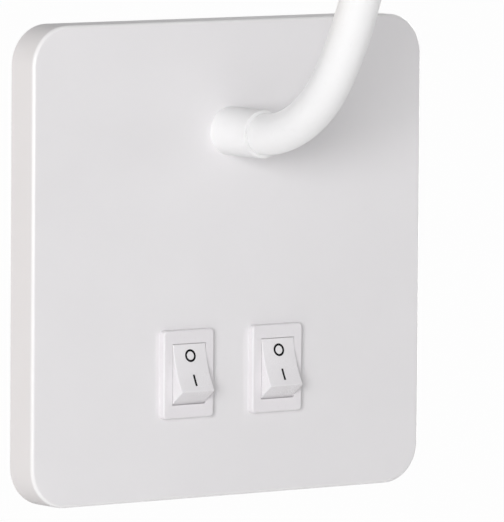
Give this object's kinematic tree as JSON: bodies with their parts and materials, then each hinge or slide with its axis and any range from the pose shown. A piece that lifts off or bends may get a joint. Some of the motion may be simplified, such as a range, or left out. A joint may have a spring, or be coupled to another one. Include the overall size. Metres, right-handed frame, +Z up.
{
  "type": "wall reading lamp",
  "caption": "Square white wall plate with rocker switches, a bendable sleeved arm leaving a short collar and curving up, and a small round spot head at its end.",
  "frame": {"origin": "middle of the wall bracket's back face, on the wall", "axes": "+Z up, +Y into the wall, +X to the right seen from the room; the cover faces -Y"},
  "size_m": [0.118, 0.23, 0.2676],
  "materials": {
    "white_paint": "satin powder coat",
    "zinc_steel": "bright zinc",
    "white_gloss": "semi gloss moulding",
    "black_mark": "inlaid paint",
    "white_sleeve": "smooth silicone",
    "black_rubber": "matt",
    "white_board": "solder mask",
    "yellow_chip": "phosphor",
    "frosted": "frosted",
    "white_matte": "moulded",
    "clear_nylon": "milky nylon",
    "brass": "plain",
    "aluminium": "milled",
    "clear_lens": "polished acrylic"
  },
  "bodies": {
    "base": {"front_cover": "white_paint", "cover_studs": "zinc_steel", "stud_nuts": "zinc_steel", "back_box": "white_paint", "wall_bracket": "zinc_steel", "bracket_tabs": "zinc_steel", "side_screws": "zinc_steel", "cable_bush": "black_rubber", "halo_board": "white_board", "halo_chips": "yellow_chip", "halo_diffuser": "frosted", "led_driver": "white_matte", "terminal_block": "clear_nylon", "terminal_screws": "brass", "switch_body_l": "white_gloss", "switch_body_r": "white_gloss", "blades_l": "brass", "blades_r": "brass", "arm_collar": "white_paint", "arm_tube": "zinc_steel", "arm_washer": "zinc_steel", "arm_nut": "zinc_steel", "sleeve_0": "white_sleeve", "core_0": "zinc_steel"},
    "rocker_left": {"rocker_l": "white_gloss", "marks_l": "black_mark"},
    "rocker_right": {"rocker_r": "white_gloss", "marks_r": "black_mark"},
    "arm_1": {"sleeve_1": "white_sleeve", "core_1": "zinc_steel"},
    "arm_2": {"sleeve_2": "white_sleeve", "core_2": "zinc_steel"},
    "arm_3": {"sleeve_3": "white_sleeve", "core_3": "zinc_steel"},
    "arm_4": {"sleeve_4": "white_sleeve", "core_4": "zinc_steel"},
    "arm_5": {"sleeve_5": "white_sleeve", "core_5": "zinc_steel"},
    "arm_6": {"sleeve_6": "white_sleeve", "core_6": "zinc_steel"},
    "arm_7": {"sleeve_7": "white_sleeve", "core_7": "zinc_steel"},
    "arm_8": {"sleeve_8": "white_sleeve", "core_8": "zinc_steel"},
    "arm_9": {"sleeve_9": "white_sleeve", "core_9": "zinc_steel"},
    "arm_10": {"sleeve_10": "white_sleeve", "core_10": "zinc_steel", "head_cap": "white_paint", "head_shell": "white_paint", "heat_sink": "aluminium", "lamp_board": "white_board", "lamp_emitter": "yellow_chip", "lens": "clear_lens", "front_ring": "white_paint"}
  },
  "joints": [
    {"name": "left_rocker", "type": "hinge", "parent": "base", "child": "rocker_left", "pos_m": [-0.0135, -0.02715, -0.0278], "axis": [1, 0, 0], "range_deg": [0, 39]},
    {"name": "right_rocker", "type": "hinge", "parent": "base", "child": "rocker_right", "pos_m": [0.0135, -0.02715, -0.0278], "axis": [1, 0, 0], "range_deg": [0, 39]},
    {"name": "bend_1", "type": "hinge", "parent": "base", "child": "arm_1", "pos_m": [0, -0.04795, 0.03225], "axis": [1, 0, 0], "range_deg": [-8, 34]},
    {"name": "bend_2", "type": "hinge", "parent": "arm_1", "child": "arm_2", "pos_m": [0, -0.07062, 0.04754], "axis": [0, 0.8241, 0.5664], "range_deg": [-30, 30]},
    {"name": "bend_3", "type": "hinge", "parent": "arm_2", "child": "arm_3", "pos_m": [0, -0.08308, 0.07252], "axis": [1, 0, 0], "range_deg": [-12, 34]},
    {"name": "bend_4", "type": "hinge", "parent": "arm_3", "child": "arm_4", "pos_m": [0, -0.08756, 0.10004], "axis": [0, 1, 0], "range_deg": [-30, 30]},
    {"name": "bend_5", "type": "hinge", "parent": "arm_4", "child": "arm_5", "pos_m": [0, -0.08756, 0.12804], "axis": [1, 0, 0], "range_deg": [-20, 34]},
    {"name": "bend_6", "type": "hinge", "parent": "arm_5", "child": "arm_6", "pos_m": [0, -0.08756, 0.15604], "axis": [0, 1, 0], "range_deg": [-30, 30]},
    {"name": "bend_7", "type": "hinge", "parent": "arm_6", "child": "arm_7", "pos_m": [0, -0.09518, 0.1826], "axis": [1, 0, 0], "range_deg": [-34, 11]},
    {"name": "bend_8", "type": "hinge", "parent": "arm_7", "child": "arm_8", "pos_m": [0, -0.11628, 0.20031], "axis": [0, 0.3746, 0.9272], "range_deg": [-30, 30]},
    {"name": "bend_9", "type": "hinge", "parent": "arm_8", "child": "arm_9", "pos_m": [0, -0.14375, 0.20223], "axis": [1, 0, 0], "range_deg": [-34, 11]},
    {"name": "bend_10", "type": "hinge", "parent": "arm_9", "child": "arm_10", "pos_m": [0, -0.16782, 0.18861], "axis": [0, -0.7071, 0.7071], "range_deg": [-30, 30]}
  ]
}
